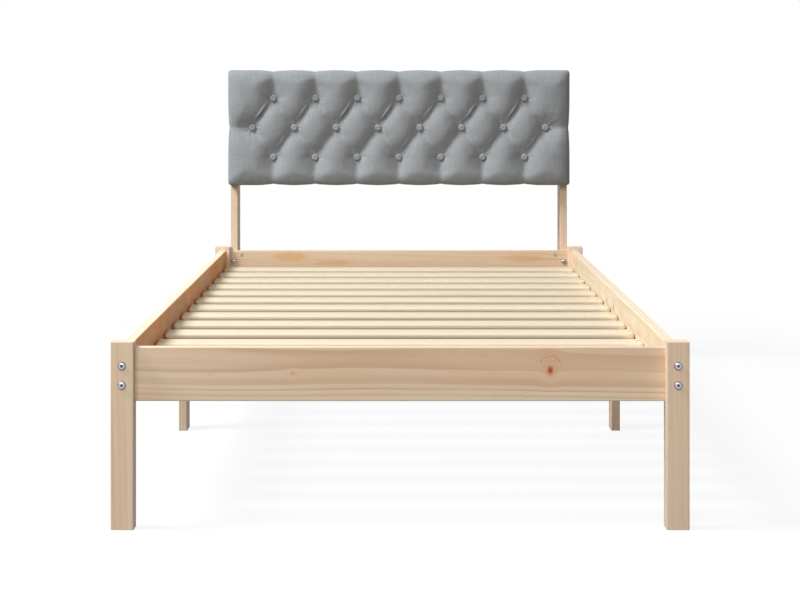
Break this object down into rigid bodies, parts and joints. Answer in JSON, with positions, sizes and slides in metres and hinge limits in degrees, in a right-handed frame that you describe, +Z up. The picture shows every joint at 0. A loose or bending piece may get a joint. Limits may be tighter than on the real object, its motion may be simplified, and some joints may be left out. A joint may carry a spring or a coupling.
{
  "type": "single bed frame",
  "caption": "Single bed frame in pale pine with square legs, board rails, wooden slats and a grey diamond-tufted padded headboard on two posts.",
  "frame": {"origin": "on the floor, under the middle of the bed's box", "axes": "+X to the right seen from the foot end, +Y towards the headboard, +Z up"},
  "size_m": [0.956, 2.15, 0.771],
  "materials": {
    "pine": "lacquered pine, satin",
    "slat_pine": "planed pine, unfinished",
    "dowel_wood": "beech, plain",
    "board": "plywood, raw",
    "cover_fabric": "woven grey fabric over foam",
    "back_cloth": "thin non-woven cloth",
    "bolt_steel": "bright zinc plate",
    "zinc_steel": "zinc plate"
  },
  "bodies": {
    "root": {"front_leg_left": "pine", "front_leg_right": "pine", "rear_leg_left": "pine", "rear_leg_right": "pine", "foot_rail": "pine", "head_rail": "pine", "mid_leg_left": "pine", "mid_leg_right": "pine", "headboard_post_left": "pine", "headboard_post_right": "pine", "side_rail_left_foot": "pine", "bearer_left_foot": "pine", "side_rail_left_head": "pine", "bearer_left_head": "pine", "side_rail_right_foot": "pine", "bearer_right_foot": "pine", "side_rail_right_head": "pine", "bearer_right_head": "pine", "slat_01": "slat_pine", "slat_02": "slat_pine", "slat_03": "slat_pine", "slat_04": "slat_pine", "slat_05": "slat_pine", "slat_06": "slat_pine", "slat_07": "slat_pine", "slat_08": "slat_pine", "slat_09": "slat_pine", "slat_10": "slat_pine", "slat_11": "slat_pine", "slat_12": "slat_pine", "slat_13": "slat_pine", "headboard_board": "board", "headboard_back_cloth": "back_cloth", "headboard_cushion": "cover_fabric", "tufting_buttons": "cover_fabric", "side_rail_bolts": "bolt_steel", "end_rail_bolts": "bolt_steel", "post_bolts": "bolt_steel", "side_rail_nuts": "zinc_steel", "end_rail_nuts": "zinc_steel", "post_nuts": "zinc_steel", "splice_cams": "zinc_steel", "splice_rods": "zinc_steel", "headboard_brackets": "zinc_steel", "bracket_screws": "zinc_steel", "bearer_screws": "zinc_steel", "slat_screws": "zinc_steel", "end_rail_dowels": "dowel_wood", "splice_dowels": "dowel_wood", "mid_leg_dowels": "dowel_wood"}
  },
  "joints": []
}
